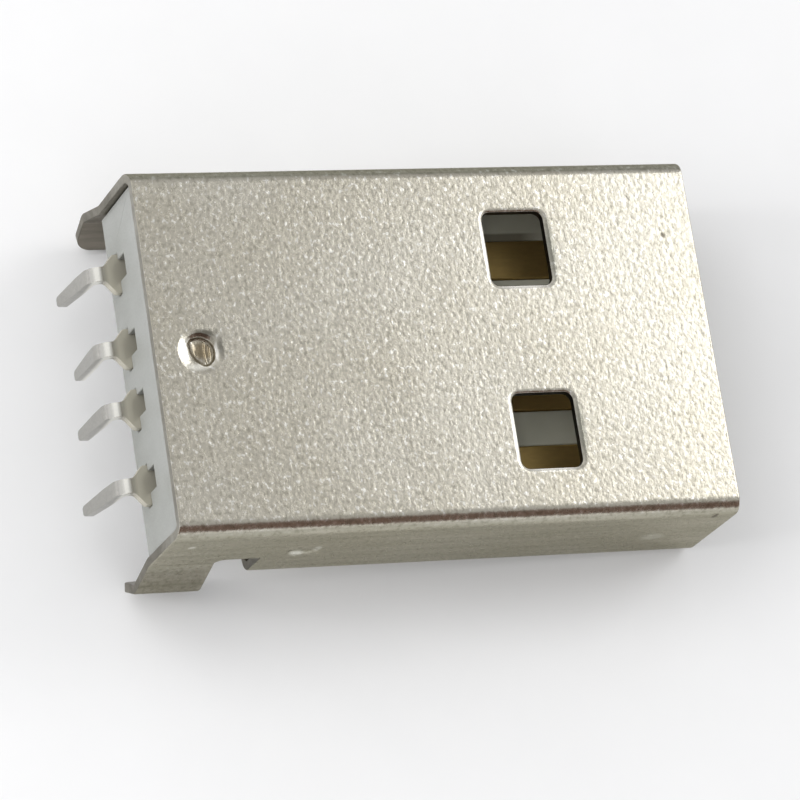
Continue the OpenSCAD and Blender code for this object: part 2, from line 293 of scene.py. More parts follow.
# Marks in the plating, and painted shade and highlights: each one's place and half sizes in
# millimetres, its strength and its colour
SHELL_MARKS_AND_PAINTED_LIGHT = [
    # A dark spot on the top and one on the near wall, a scratch and a pale speck
    ((6.63, 3.38, 4.5), (0.10, 0.14, 0.1), 0.85, (0.10, 0.085, 0.065)),
    ((6.98, -6.0, 3.94), (0.13, 0.1, 0.24), 0.85, (0.08, 0.065, 0.05)),
    ((-0.34, -6.0, 2.71), (0.42, 0.1, 0.05), 0.6, (0.16, 0.15, 0.12)),
    ((-10.41, -6.0, 3.22), (0.15, 0.1, 0.16), 0.7, (0.90, 0.90, 0.84)),
    # Two painted highlights on the near dimple's rim, and a pale patch at the front
    ((-6.62, -6.0, 2.05), (0.30, 0.15, 0.34), 0.6, (0.80, 0.80, 0.73)),
    ((-6.06, -6.0, 2.45), (0.17, 0.15, 0.34), 0.7, (0.85, 0.85, 0.79)),
    ((5.60, -6.0, 1.95), (0.50, 0.1, 0.42), 0.45, (0.75, 0.75, 0.68)),
    # The stake, in painted light: a brown floor as a painted dark reflection, painted shade on its
    # far and front sides, and painted highlights on its walls in front, behind, near
    ((-9.52, 0.0, 4.3), (0.56, 0.50, 0.3), 0.85, (0.20, 0.155, 0.09)),
    ((-9.42, 0.52, 4.45), (0.50, 0.17, 0.2), 0.8, (0.17, 0.16, 0.13)),
    ((-8.98, 0.05, 4.45), (0.12, 0.60, 0.2), 0.8, (0.22, 0.21, 0.18)),
    ((-9.13, -0.08, 4.4), (0.075, 0.42, 0.2), 0.95, (1.0, 0.98, 0.92)),
    ((-10.17, -0.05, 4.45), (0.22, 0.55, 0.2), 0.9, PAINTED_WALL_HIGHLIGHT),
    ((-9.82, -0.58, 4.45), (0.42, 0.16, 0.2), 0.9, PAINTED_WALL_HIGHLIGHT),
]
for middle in (3.06, -3.06):
    # Each window's rim: painted shade in front, painted highlights behind and at its near side
    SHELL_MARKS_AND_PAINTED_LIGHT += [
        ((2.63, middle, 4.5), (0.20, 1.25, 0.4), 0.7, (0.25, 0.25, 0.21)),
        ((0.36, middle, 4.5), (0.11, 1.35, 0.2), 0.9, PAINTED_RIM_HIGHLIGHT),
        ((1.47, middle - 1.31, 4.5), (1.10, 0.10, 0.2), 0.9, PAINTED_RIM_HIGHLIGHT),
    ]
# Size of the lumps that make a mark's border ragged, and how far they shift it, in millimetres
RAGGED_LUMP, RAGGED_SHIFT = 0.18, 0.06


def add_marks_and_painted_light(tree, place, tone, marks):
    """Mixes soft ovals with ragged borders into a colour: marks, and painted shade and highlights.
    """
    wander = noise(tree, place, RAGGED_LUMP * MM, output="Color")
    shift = (RAGGED_SHIFT * MM,) * 3
    ragged = vector_maths(tree, "MULTIPLY_ADD", wander, shift, place).outputs[0]
    for middle, reach, strength, shade in marks:
        # The noise is about a half on average, so the whole pattern lies half the shift away
        settled = (Vector(middle) + Vector((RAGGED_SHIFT / 2,) * 3)) * MM
        off = vector_maths(tree, "SUBTRACT", ragged, settled).outputs[0]
        reached = stretch(tree, off, *(1 / (r * MM) for r in reach))
        near = vector_maths(tree, "LENGTH", reached).outputs["Value"]
        tone = mix(tree, ramp(tree, near, 0.4, 1, strength, 0), tone, shade)
    return tone


def window_shade(tree, x, rear, front):
    """How dark the inside is under the windows: a share at their rear edges and one further on."""
    return ramp(tree, x, 0.4 * MM, 1.8 * MM, rear, front)


def satin_nickel(settings):
    """Satin nickel: fine grains with painted glints, yellowed patches, and painted shade on facets,
    streaked walls, legs and far fold.
    """
    material, tree, shader, place = new_material("satin_nickel")
    x, y, z = axes(tree, place)
    across = maths(tree, "ABSOLUTE", y)
    drawn = stretch(tree, place, 1, 0.8, 1)
    grain = noise(tree, drawn, settings.grain, 1, 0.4)
    facets = noise(tree, drawn, 1.25 * settings.grain, 2, 0.5)
    patches = noise(tree, place, 4 * MM, 2)
    tone = mix(tree, ramp(tree, patches, 0.35, 0.7), settings.nickel, settings.nickel_warm)

    # Painted shade on some facets and painted glints on others, the glints hardly on the side walls
    painted_facet_shade = ramp(tree, facets, 0.34, 0.46, 1, 0)
    tone = mix(tree, painted_facet_shade, tone, (0.78, 0.78, 0.76), "MULTIPLY")
    on_top = ramp(tree, across, 5.75 * MM, 5.90 * MM, 1, 0.25)
    painted_glints = times(tree, ramp(tree, facets, 0.59, 0.68), on_top)
    tone = mix(tree, painted_glints, tone, (0.78, 0.765, 0.71))

    # Painted shade on the side walls, broken up by streaks
    streaks = noise(tree, stretch(tree, place, 0.06, 1, 1), 0.3 * MM, 3, 0.6)
    streaked = ramp(tree, streaks, 0.35, 0.65, 0.45, 1)
    walls = times(tree, fade(tree, across, *SIDE_WALLS), streaked)
    tone = mix(tree, walls, tone, (0.66, 0.67, 0.62), "MULTIPLY")
    # Painted shade low on the rear of the legs
    legs = times(tree, fade(tree, x, *LEG_LENGTH), fade(tree, z, *LEG_HEIGHT))
    tone = mix(tree, legs, tone, (0.62, 0.61, 0.60), "MULTIPLY")
    # A painted dark reflection on the far fold
    painted_far_fold_shade = times(tree, fade(tree, y, *FAR_FOLD_WIDTH), fade(tree, z, *FAR_FOLD_HEIGHT))
    tone = mix(tree, painted_far_fold_shade, tone, (0.42, 0.43, 0.40), "MULTIPLY")
    tone = add_marks_and_painted_light(tree, place, tone, SHELL_MARKS_AND_PAINTED_LIGHT)

    tree.links.new(tone, shader.inputs["Base Color"])
    shader.inputs["Metallic"].default_value = 1.0
    shader.inputs["Specular Tint"].default_value = (0.72, 0.70, 0.64, 1)
    smoothest, roughest = settings.roughness - 0.03, settings.roughness + 0.03
    tree.links.new(ramp(tree, grain, 0.35, 0.65, smoothest, roughest), shader.inputs["Roughness"])
    waves = noise(tree, place, 3.5 * MM, 1)
    slow = bump(tree, waves, 0.012 * MM)
    tree.links.new(bump(tree, grain, settings.grain_depth, slow), shader.inputs["Normal"])
    return material


def dull_nickel(settings):
    """The sheet's inner face: thin, dull plating with rolling marks."""
    material, tree, shader, place = new_material("dull_nickel")
    marks = noise(tree, stretch(tree, place, 0.15, 1, 1), 0.2 * MM, 3, 0.6)
    tone = mix(tree, ramp(tree, marks, 0.35, 0.7), settings.inner, dim(settings.inner, 0.75))
    tree.links.new(tone, shader.inputs["Base Color"])
    shader.inputs["Metallic"].default_value = 1.0
    tree.links.new(ramp(tree, marks, 0.3, 0.7, 0.34, 0.44), shader.inputs["Roughness"])
    tree.links.new(bump(tree, marks, 0.003 * MM), shader.inputs["Normal"])
    return material


def sheared_steel(settings):
    """The sheet's sheared edges: blotched, scored, painted shade in the windows, and darker low
    down.
    """
    material, tree, shader, place = new_material("sheared_steel")
    x, _, z = axes(tree, place)
    blotch = noise(tree, place, 0.5 * MM, 3, 0.6)
    cut_edge = settings.cut_edge
    tone = mix(tree, ramp(tree, blotch, 0.35, 0.7), cut_edge, dim(cut_edge, 0.72))
    # Painted shade on the sheared edges in the windows
    tone = mix(tree, fade(tree, x, *WINDOW_EDGE_SHADE), tone, (0.16, 0.15, 0.14), "MULTIPLY")
    tone = mix(tree, fade(tree, z, *EDGE_FOOT), tone, (0.62, 0.60, 0.56), "MULTIPLY")
    tree.links.new(tone, shader.inputs["Base Color"])
    shader.inputs["Metallic"].default_value = 1.0
    tree.links.new(ramp(tree, blotch, 0.3, 0.7, 0.34, 0.5), shader.inputs["Roughness"])
    scores = noise(tree, place, 0.06 * MM, 2)
    tree.links.new(bump(tree, scores, 0.004 * MM), shader.inputs["Normal"])
    return material


def moulded_plastic(settings):
    """White moulding: faint flow marks, a fine eroded texture, light through its edges."""
    material, tree, shader, place = new_material("moulded_plastic")
    x, y, z = axes(tree, place)
    flow = noise(tree, place, 2.5 * MM, 3, 0.6)
    tone = mix(tree, ramp(tree, flow, 0.4, 0.75), settings.plastic, settings.plastic_shade)
    tongue = fade(tree, x, *TONGUE)
    tone = mix(tree, tongue, tone, (0.95, 0.92, 0.80), "MULTIPLY")
    tone = mix(tree, window_shade(tree, x, 0.68, 0.12), tone, (0, 0, 0))
    # The shaded strip of the tongue's face beside the far contact
    upper = times(tree, fade(tree, z, *SHADED_HEIGHT), fade(tree, x, *SHADED_LENGTH))
    shaded = times(tree, times(tree, tongue, upper), band(tree, y, *SHADED_WIDTH))
    tone = mix(tree, shaded, tone, (0.45, 0.42, 0.38), "MULTIPLY")
    tree.links.new(tone, shader.inputs["Base Color"])
    spark = noise(tree, place, 0.07 * MM, 2)
    smoothest, roughest = settings.roughness - 0.06, settings.roughness + 0.08
    tree.links.new(ramp(tree, spark, 0.3, 0.7, smoothest, roughest), shader.inputs["Roughness"])
    shader.inputs["Subsurface Weight"].default_value = 0.25
    shader.inputs["Subsurface Radius"].default_value = (1.0, 0.95, 0.85)
    shader.inputs["Subsurface Scale"].default_value = 0.3 * MM
    tree.links.new(bump(tree, spark, 0.002 * MM), shader.inputs["Normal"])
    return material


def contact_plating(settings):
    """Tin on the tails, warmer on the plates and gold on the tongue, with soft borders between, and
    a painted highlight at the necks.
    """
    material, tree, shader, place = new_material("contact_plating")
    grain = noise(tree, stretch(tree, place, 0.25, 1, 1), 0.12 * MM, 3, 0.6)
    x = axes(tree, place)["X"]
    wander = ramp(tree, noise(tree, place, 0.8 * MM, 2), 0, 1, -0.4 * MM, 0.4 * MM)
    border = maths(tree, "ADD", x, wander)
    tin, warm, gold = (
        mix(tree, ramp(tree, grain, 0.3, 0.7), tone, dim(tone, 0.88))
        for tone in (settings.tin, settings.warm, settings.gold)
    )
    tone = mix(tree, fade(tree, border, *WARM_TIN), tin, warm)
    dull = band(tree, x, *DULL_PLATE)
    tone = mix(tree, dull, tone, (0.49, 0.465, 0.385))
    # A painted highlight on each tail's neck
    tone = mix(tree, band(tree, x, *PAINTED_NECK_HIGHLIGHT), tone, (0.95, 0.94, 0.88))
    gilt = fade(tree, border, *GILT)
    gold = mix(tree, window_shade(tree, x, 0.45, 0), gold, (0, 0, 0))
    tree.links.new(mix(tree, gilt, tone, gold), shader.inputs["Base Color"])
    tree.links.new(ramp(tree, dull, 0, 1, 1, 0.35), shader.inputs["Metallic"])
    worn = mix(tree, gilt, (0.20, 0.20, 0.20), (0.46, 0.46, 0.46))
    rough = maths(tree, "ADD", worn, ramp(tree, grain, 0.3, 0.7, -0.03, 0.05))
    tree.links.new(rough, shader.inputs["Roughness"])
    tree.links.new(bump(tree, grain, 0.0015 * MM), shader.inputs["Normal"])
    return material


def pale_floor(settings):
    """Matt white board for the plug to stand on; its underside doesn't show."""
    material, tree, shader, place = new_material("pale_floor")
    fibre = noise(tree, place, 3 * MM, 3, 0.6)
    tone = mix(tree, ramp(tree, fibre, 0.3, 0.7), settings.floor, dim(settings.floor, 0.985))
    tree.links.new(tone, shader.inputs["Base Color"])
    tree.links.new(ramp(tree, fibre, 0.3, 0.7, 0.75, 0.85), shader.inputs["Roughness"])
    shader.inputs["Specular IOR Level"].default_value = 0.2
    output = next(n for n in tree.nodes if n.type == "OUTPUT_MATERIAL")
    behind = add(tree, "ShaderNodeNewGeometry").outputs["Backfacing"]
    clear = add(tree, "ShaderNodeBsdfTransparent")
    inputs = {0: behind, 1: shader.outputs[0], 2: clear.outputs[0]}
    tree.links.new(add(tree, "ShaderNodeMixShader", inputs).outputs[0], output.inputs["Surface"])
    return material


# ---- Mesh helpers ----

# Vertices closer than MERGE, in millimetres, become one, edges that turn by less than FLAT are
# dissolved, and edges that turn by more than SHARP are rounded
MERGE, FLAT, SHARP = 0.0004, math.radians(0.3), math.radians(33)


def copy_in_millimetres(node):
    """A merged copy of a CAD node, in millimetres, with its flat faces whole again."""
    bm = bmesh.new()
    bm.from_mesh(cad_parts[node].data)
    bmesh.ops.scale(bm, vec=Vector((1, 1, 1)) / MM, verts=bm.verts)
    bmesh.ops.remove_doubles(bm, verts=bm.verts, dist=MERGE)
    bmesh.ops.dissolve_limit(bm, angle_limit=FLAT, verts=bm.verts, edges=bm.edges)
    return bm


def finish_mesh(bm, name, materials, width=0.0, crisp=None):
    """The mesh in metres with even normals; sharp edges but the crisp ones are rounded."""
    if width:
        weight = bm.edges.layers.float.new("bevel_weight_edge")
        for e in bm.edges:
            if e.is_manifold and e.calc_face_angle(0) > SHARP:
                e[weight] = 0.0 if crisp and all(crisp(v.co) for v in e.verts) else 1.0
    for f in bm.faces:
        f.smooth = True
    draft = bpy.data.meshes.new(name + "_draft")
    bm.to_mesh(draft)
    bm.free()
    for m in materials:
        draft.materials.append(m)
    obj = bpy.data.objects.new(name + "_draft", draft)
    bpy.context.scene.collection.objects.link(obj)
    if width:
        bevel = obj.modifiers.new("round", "BEVEL")
        bevel.limit_method = "WEIGHT"
        bevel.width = width
        bevel.segments = 3
        bevel.use_clamp_overlap = False
    even = obj.modifiers.new("even", "WEIGHTED_NORMAL")
    even.keep_sharp = True
    return bake(obj, name)


def bake(obj, name):
    """The object's finished mesh on its own, in metres; the draft is removed."""
    evaluated = obj.evaluated_get(bpy.context.evaluated_depsgraph_get())
    mesh = bpy.data.meshes.new_from_object(evaluated)
    mesh.name = name
    mesh.transform(Matrix.Scale(MM, 4))
    draft = obj.data
    bpy.data.objects.remove(obj)
    bpy.data.meshes.remove(draft)
    return mesh


def place_piece(mesh, name, slot, *nodes):
    """Puts a finished mesh in the scene, riding on the part and standing for its CAD nodes."""
    obj = bpy.data.objects.new(name, mesh)
    bpy.context.scene.collection.objects.link(obj)
    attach(obj, "root")
    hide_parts(*nodes)
    return obj


# ---- Shell ----

# Half the outer width of the tube; this and all other sizes in this section are in millimetres
HALF_WIDE = 6.0
# A leg leans out from KINK_TOP above the board, by LEAN_OUT over LEAN_DROP, and comes back in at
# its heel, by BACK_IN over BACK_DROP; the bends take BENDS_TAKE off the straight run between them
KINK_TOP, KINK_RADIUS, KINK_BEND = 1.4, 0.3, 0.066
LEAN_OUT, LEAN_DROP, BENDS_TAKE = 0.3995, 1.8, 0.3
HEEL_RADIUS, BACK_IN, BACK_DROP = 0.6, 0.5, 1.3
# A last straight run, longer than any sheet left
LAST_RUN = 9
# Middles of the two dovetails and the side they point to, and half their widths at neck and head
DOVETAILS = ((0, 1), (-5.4, -1))
NECK, HEAD = 0.6, 0.85
# The stake lies beside the middle of the top wall. Its steep wall and its lead-in are lines of
# radius and share of the depth; the lead-in takes over behind the line that LEAD_WAY is square to
STAKE_OFFSET = 0.06
STEEP_WALL = ((0.44, 1), (0.50, 0.50), (0.60, 0.15), (0.72, 0))
LEAD_IN = ((0.16, 1), (0.42, 0.32), (0.76, 0))
LEAD_WAY, LEAD_BORDER = (0.85, 0.53), (-0.06, 0.34)
# The ridges on the stake's floor, which ends between the two radii of STAKE_FLOOR
STAKE_FLOOR = (0.34, 0.44)
RIDGES, RIDGE_TALL, RIDGE_WIDE, RIDGE_BOW = (0.12, 0.28), 0.03, 0.035, 0.2
# A side dimple: its depth, half the length of its straight part, and its floor and rim radii
DIMPLE_DEPTH, DIMPLE_HALF, DIMPLE_FLOOR, DIMPLE_RIM = 0.05, 0.275, 0.12, 0.27
# How a punched rim droops: inset and depth as shares of the roll-over
DROOP = ((1, 0), (0.7, 0.03), (0.44, 0.09), (0.22, 0.18), (0.07, 0.30), (0, 0.45))
# Finishes of the sheet's faces, and the rim's level at which the plating gives way to steel
OUTER, SHEARED, INNER = 0, 1, 2
SHEARED_FROM = 4


def smooth(value, low, high):
    """A soft step from 0 at low to 1 at high."""
    t = min(max((value - low) / (high - low), 0), 1)
    return t * t * (3 - 2 * t)


def along(value, knots):
    """The height of a line through knots at a value, held beyond its ends."""
    for (x0, y0), (x1, y1) in zip(knots, knots[1:]):
        if value <= x1:
            return y0 + (y1 - y0) * max(value - x0, 0) / (x1 - x0)
    return knots[-1][1]


def arc(x, y, radius, start, end, count=10):
    """Points along an arc, with angles in degrees."""
    angles = [math.radians(start + (end - start) * k / count) for k in range(count + 1)]
    return [(x + radius * math.cos(a), y + radius * math.sin(a)) for a in angles]


def spread(start, end, count=10):
    """Evenly spaced numbers, both ends included."""
    return [start + (end - start) * k / count for k in range(count + 1)]


def offset(points, by, closed=True):
    """The line moved to its left, with mitred corners."""
    moved = []
    last = len(points) - 1
    for i, p in enumerate(points):
        before = points[i - 1] if closed or i else None
        after = points[(i + 1) % len(points)] if closed or i < last else None
        normals = []
        for a, b in ((before, p), (p, after)):
            if a and b:
                run = Vector(b) - Vector(a)
                normals.append(Vector((-run.y, run.x)).normalized())
        mitre = 1 + (normals[0].dot(normals[1]) if len(normals) == 2 else 0)
        way = sum(normals, Vector((0, 0))) / mitre
        moved.append((p[0] + by * way.x, p[1] + by * way.y))
    return moved


def inside(x, v, loop):
    """Whether a place lies inside a loop."""
    odd = False
    for (ax, av), (bx, bv) in zip(loop, loop[1:] + loop[:1]):
        if (av > v) != (bv > v) and x < ax + (v - av) * (bx - ax) / (bv - av):
            odd = not odd
    return odd


def walk(steps, top, way):
    """The point and normal at a distance along a section of runs, each with a turn and radius."""
    at, heading = Vector((0, top)), 0.0
    for run, turn, radius in steps:
        ahead = Vector((math.cos(heading), math.sin(heading)))
        left = Vector((-ahead.y, ahead.x))
        if way <= run or not turn:
            return at + ahead * way, left
        way -= run
        side = math.copysign(1, turn)
        centre = at + ahead * run + left * side * radius
        bend = abs(math.radians(turn)) * radius
        heading += side * min(way, bend) / radius
        left = Vector((-math.sin(heading), math.cos(heading)))
        at = centre - left * side * radius
        if way <= bend:
            return at, left
        way -= bend


class Pattern:
    """The shell's sheet laid flat: x along the plug, v across it from the middle of its top."""

    def __init__(self, settings, low, high):
        vars(self).update(sizes(settings))
        self.top, self.front, self.side_rear = high.z, high.x, low.x
        self.rear = self.side_rear + self.side_lead
        self.floor_rear = self.rear + self.floor_start
        self.leg_front = self.side_rear + self.leg_long
        self.stake_x = self.rear + self.stake_setback
        self.dimple_x = self.rear + self.dimple_setback
        self.window_x = self.front - self.window_setback - self.window_long / 2
        self.flat = HALF_WIDE - self.fold
        self.wall = self.top - 2 * self.fold
        bend = math.radians(90) * self.fold
        self.side_start = self.flat + bend
        self.side_end = self.side_start + self.wall
        self.under_start = self.side_end + bend
        self.seam_v = self.under_start + self.flat
        self.tube_steps = [
            (self.flat, -90, self.fold),
            (self.wall, -90, self.fold),
            (LAST_RUN, 0, 0),
        ]
        self.kink_v = self.side_start + self.top - self.fold - KINK_TOP
        out = math.degrees(math.atan(LEAN_OUT / LEAN_DROP))
        back = math.degrees(math.atan(BACK_IN / BACK_DROP))
        run = LEAN_DROP / math.cos(math.radians(out)) - BENDS_TAKE
        self.leg_steps = [
            (self.flat, -90, self.fold),
            (self.kink_v - self.side_start, out, KINK_RADIUS),
            (run, -out - back, HEEL_RADIUS),
            (LAST_RUN, 0, 0),
        ]
        self.heel_v = self.kink_v + math.radians(out) * KINK_RADIUS + run
        self.heel_bend = math.radians(out + back) * HEEL_RADIUS
        # The tip ends where the leg reaches the lowest point
        self.tip_v, pace = self.heel_v, 0.001
        while walk(self.leg_steps, self.top, self.tip_v + pace)[0].y > low.z:
            self.tip_v += pace

    def folds(self):
        """Places across the two folds of one side at which they are cut into strips."""
        return spread(self.flat, self.side_start) + spread(self.side_end, self.under_start)

    def kinks(self):
        """Places across the two bends of a leg at which they are cut into strips."""
        kink = spread(self.kink_v, self.kink_v + KINK_BEND, 3)
        return kink + spread(self.heel_v, self.heel_v + self.heel_bend, 8)

    def stake_sink(self, x, y):
        """Depth of the stake at a place from its middle, with the two ridges on its floor."""
        r = math.hypot(x, y)
        behind = smooth(-(LEAD_WAY[0] * x + LEAD_WAY[1] * y), *LEAD_BORDER)
        steep, lead = (
            along(r, [(radius, part * self.stake_depth) for radius, part in wall])
            for wall in (STEEP_WALL, LEAD_IN)
        )
        sink = steep + (lead - steep) * behind
        floor = 1 - smooth(r, *STAKE_FLOOR)
        for ridge in RIDGES:
            off = (x - ridge - RIDGE_BOW * y * y) / RIDGE_WIDE
            sink -= RIDGE_TALL * floor * math.exp(-(off**2))
        return sink

    def place(self, x, v, depth):
        """The folded sheet's point for a place on the pattern, at a depth below its outer face."""
        # The legs' bends apply only behind the bottom wall
        steps = self.leg_steps if x < self.floor_rear - 0.5 else self.tube_steps
        p, n = walk(steps, self.top, abs(v))
        if abs(v) < 1 and abs(x - self.stake_x) < 1:
            depth += self.stake_sink(x - self.stake_x, v + STAKE_OFFSET)
        beside = max(abs(x - self.dimple_x) - DIMPLE_HALF, 0)
        off = math.hypot(beside, abs(v) - (self.side_start + self.side_end) / 2)
        dimple = DIMPLE_DEPTH * (1 - smooth(off, DIMPLE_FLOOR, DIMPLE_RIM))
        depth += dimple * (1 - depth / self.sheet)
        p = p - n * depth
        return Vector((x, math.copysign(1, v) * p.x, p.y))

    def seam(self, shift):
        """The seam's line from front to rear as x and y, moved sideways."""
        line = [(self.front, 0)]
        for x, side in DOVETAILS:
            reach = side * self.tail_reach
            line += [(x + NECK, 0), (x + HEAD, reach), (x - HEAD, reach), (x - NECK, 0)]
        return offset(line + [(self.floor_rear, 0)], shift, closed=False)

    def side(self, sign):
        """One side's outline from the seam's front, round the leg, to the top wall's rear edge."""
        points = [(x, self.seam_v - sign * y) for x, y in self.seam(-sign * self.seam_gap / 2)]
        points += [(self.floor_rear, v) for v in spread(self.under_start, self.side_end)]
        relief_v = self.side_start + self.top - self.fold - self.relief_height
        points.append((self.floor_rear, relief_v))
        corner, chamfer, heel = self.relief_corner, self.leg_chamfer, self.leg_heel
        points += arc(self.leg_front + corner, relief_v + corner, corner, -90, -180)
        points += [
            (self.leg_front, v)
            for v in self.kinks()
            if relief_v + corner < v < self.tip_v - chamfer
        ]
        points += [(self.leg_front, self.tip_v - chamfer), (self.leg_front - chamfer, self.tip_v)]
        points += arc(self.side_rear + heel, self.tip_v - heel, heel, 90, 180)
        points += [(self.side_rear, v) for v in self.kinks()[::-1] if v < self.tip_v - heel]
        # The side wall's rear edge comes forward to the top wall's across the fold
        points.append((self.side_rear, self.side_start + 0.35))
        for v in spread(self.side_start, self.flat):
            lead = smooth(v, self.flat, self.side_start + 0.2)
            points.append((self.rear + (self.side_rear - self.rear) * lead, v))
        return points

    def outline(self):
        """The whole outline, with the sheet on its left."""
        folds = self.folds()
        ends = [(self.front, -v) for v in folds[::-1]] + [(self.front, v) for v in folds]
        return self.side(1) + [(x, -v) for x, v in self.side(-1)[::-1]] + ends

    def window(self, v):
        """A latch window's outline, with the sheet on its left."""
        points, r = [], self.window_corner
        for sx, sv, start in ((1, 1, 0), (-1, 1, 90), (-1, -1, 180), (1, -1, 270)):
            x = self.window_x + sx * (self.window_long / 2 - r)
            points += arc(x, v + sv * (self.window_wide / 2 - r), r, start, start + 90, 8)
        return points[::-1]

    def fine_places(self):
        """Places at which the stake, the dimples and the legs' bends are cut finely."""
        # A square grid on the stake's floor, and rings of places up its walls
        pitch, reach = 0.022, range(-20, 21)
        floor = [(pitch * i, pitch * k) for i in reach for k in reach if math.hypot(i, k) <= 19]
        walls = [place for r in spread(0.44, 0.80, 18) for place in arc(0, 0, r, 0, 356, 89)]
        places = [(self.stake_x + x, v - STAKE_OFFSET) for x, v in floor + walls]
        middle = (self.side_start + self.side_end) / 2
        for sign in (1, -1):
            places += [
                (self.dimple_x + 0.06 * i, sign * (middle + 0.05 * k))
                for i in range(-11, 12)
                for k in range(-7, 8)
            ]
            places += [
                (x, sign * v)
                for v in self.kinks()
                for x in spread(self.side_rear + 0.15, self.leg_front - 0.15, 12)
                if v < self.tip_v - self.leg_heel or x > self.side_rear + self.leg_heel
            ]
        return places


def cut_face(pattern, loops):
    """One face of the sheet between its loops: places, triangles and each place's sources."""
    places, edges = [], []
    for loop in loops:
        first = len(places)
        places += loop
        edges += [(first + i, first + (i + 1) % len(loop)) for i in range(len(loop))]
    # Straight cuts along every fold, between the two outline points that lie on it
    outer = loops[0]
    for v in pattern.folds():
        rear = pattern.floor_rear - 0.2 if v >= pattern.side_end else pattern.side_rear - 1
        for level in (v, -v):
            row = [i for i, p in enumerate(outer) if abs(p[1] - level) < 0.02 and p[0] > rear]
            edges.append((min(row, key=lambda i: outer[i][0]), max(row, key=lambda i: outer[i][0])))
    made = delaunay_2d_cdt([Vector(p) for p in places + pattern.fine_places()], edges, [], 0, 1e-7)
    kept = []
    for triangle in made[2]:
        x = sum(made[0][i].x for i in triangle) / 3
        v = sum(made[0][i].y for i in triangle) / 3
        if inside(x, v, outer) and not any(inside(x, v, hole) for hole in loops[1:]):
            kept.append(triangle)
    return made[0], kept, made[3]


def rim_levels(sheet, roll, burr):
    """Inset and depth of each line of a rim, from the outer face to the inner one."""
    levels = [(roll * inset, roll * depth) for inset, depth in DROOP]
    for a in (0, 0.5, 1.05, math.pi / 2):
        levels.append((burr * (1 - math.cos(a)), sheet - burr + burr * math.sin(a)))
    return levels


def fold_sheet(pattern):
    """The folded sheet as a closed mesh: an outer and an inner face, and rims that join them."""
    bm = bmesh.new()
    loops = [(pattern.outline(), pattern.edge_break)]
    half_pitch = pattern.window_pitch / 2
    for v in (half_pitch, pattern.seam_v - half_pitch):
        loops += [(pattern.window(sign * v), pattern.punch_roll) for sign in (1, -1)]
    rims = []
    for loop, roll in loops:
        levels = rim_levels(pattern.sheet, roll, pattern.burr)
        rims.append([(offset(loop, inset), depth) for inset, depth in levels])

    # The outer face joins each rim's first line, and the inner face, which is turned, its last
    joins = []
    for end, depth, finish in ((0, 0.0, OUTER), (-1, pattern.sheet, INNER)):
        places, triangles, sources = cut_face(pattern, [rim[end][0] for rim in rims])
        verts = [bm.verts.new(pattern.place(p.x, p.y, depth)) for p in places]
        for a, b, c in triangles:
            face = bm.faces.new([verts[i] for i in ((a, b, c) if end == 0 else (a, c, b))])
            face.material_index = finish
        joins.append({source: verts[i] for i, these in enumerate(sources) for source in these})

    first = 0
    for rim in rims:
        count = len(rim[0][0])
        rings = [[joins[0][first + i] for i in range(count)]]
        for places, depth in rim[1:-1]:
            rings.append([bm.verts.new(pattern.place(x, v, depth)) for x, v in places])
        rings.append([joins[1][first + i] for i in range(count)])
        for level, (upper, lower) in enumerate(zip(rings, rings[1:])):
            for i in range(count):
                k = (i + 1) % count
                face = bm.faces.new((upper[k], upper[i], lower[i], lower[k]))
                face.material_index = SHEARED if level >= SHEARED_FROM else OUTER
        first += count
    loose = [v for v in bm.verts if not v.link_faces]
    bmesh.ops.delete(bm, geom=loose, context="VERTS")
    return bm


class PLUG_OT_shell(bpy.types.Operator):
    """Fold the shell from one sheet, with its rims, stake, dimples and plating"""

    bl_idname = "plug.shell"
    bl_label = "Shell"

    def execute(self, context):
        s = context.scene.plug_shell
        low, high = (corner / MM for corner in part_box("shell"))
        bm = fold_sheet(Pattern(s, low, high))
        open_edges = sum(not e.is_manifold for e in bm.edges)
        if open_edges:
            raise RuntimeError(f"the shell's sheet has {open_edges} open edges")
        finishes = [satin_nickel(s), sheared_steel(s), dull_nickel(s)]
        mesh = finish_mesh(bm, "shell_sheet", finishes)
        place_piece(mesh, "shell_sheet", "shell_nickel", "shell")
        return {"FINISHED"}


# ---- Insulator ----

# Front of the moulding's block, in millimetres. The tongue is a little smaller all round than the
# block, and below STEP_TOP that fine step dies away round the corners and stays unrounded
BLOCK_FRONT = -4.2
STEP_TOP = 0.65


def fine_step(p):
    """Whether a point lies on the fine end of the step between the tongue and the block."""
    return abs(p.x - BLOCK_FRONT) < 0.01 and p.z < STEP_TOP


class PLUG_OT_insulator(bpy.types.Operator):
    """Dress the moulded insulator: soft edges and white plastic"""

    bl_idname = "plug.insulator"
    bl_label = "Insulator"

    def execute(self, context):
        s = context.scene.plug_insulator
        bm = copy_in_millimetres("insulator")
        plastic, width = moulded_plastic(s), s.edge_break / MM
        mesh = finish_mesh(bm, "insulator_moulding", [plastic], width, fine_step)
        place_piece(mesh, "insulator_moulding", "insulator_white", "insulator")
        return {"FINISHED"}


# ---- Contacts ----

# Each contact's node and the backward lean of its tail, in degrees
CONTACTS = {"contact_vbus": 7, "contact_d_minus": 0, "contact_d_plus": 4, "contact_gnd": 9}
# A contact's step down inside the block: how far it starts behind the block's front, its height in
# millimetres, its slope in degrees and the radius of its two bends
DROP_BEHIND, DROP, DROP_SLOPE, DROP_RADIUS = 1, 0.3, 35, 0.3
# How a strip is cut, in millimetres: where the plate ends and the shoulder starts behind the
# moulding, the length of the tail that doesn't taper, the chamfer of the tail's tip, and how much
# narrower the contact's front end gets over its last bit
PLATE_END, SHOULDER_START, FULL_TAIL, TIP_CHAMFER = 0.10, 0.15, 0.8, 0.07
NOSE_NARROWING, NOSE_LONG = 0.12, 0.1
# Distance between two points of a strip's line
SPACING = 0.06


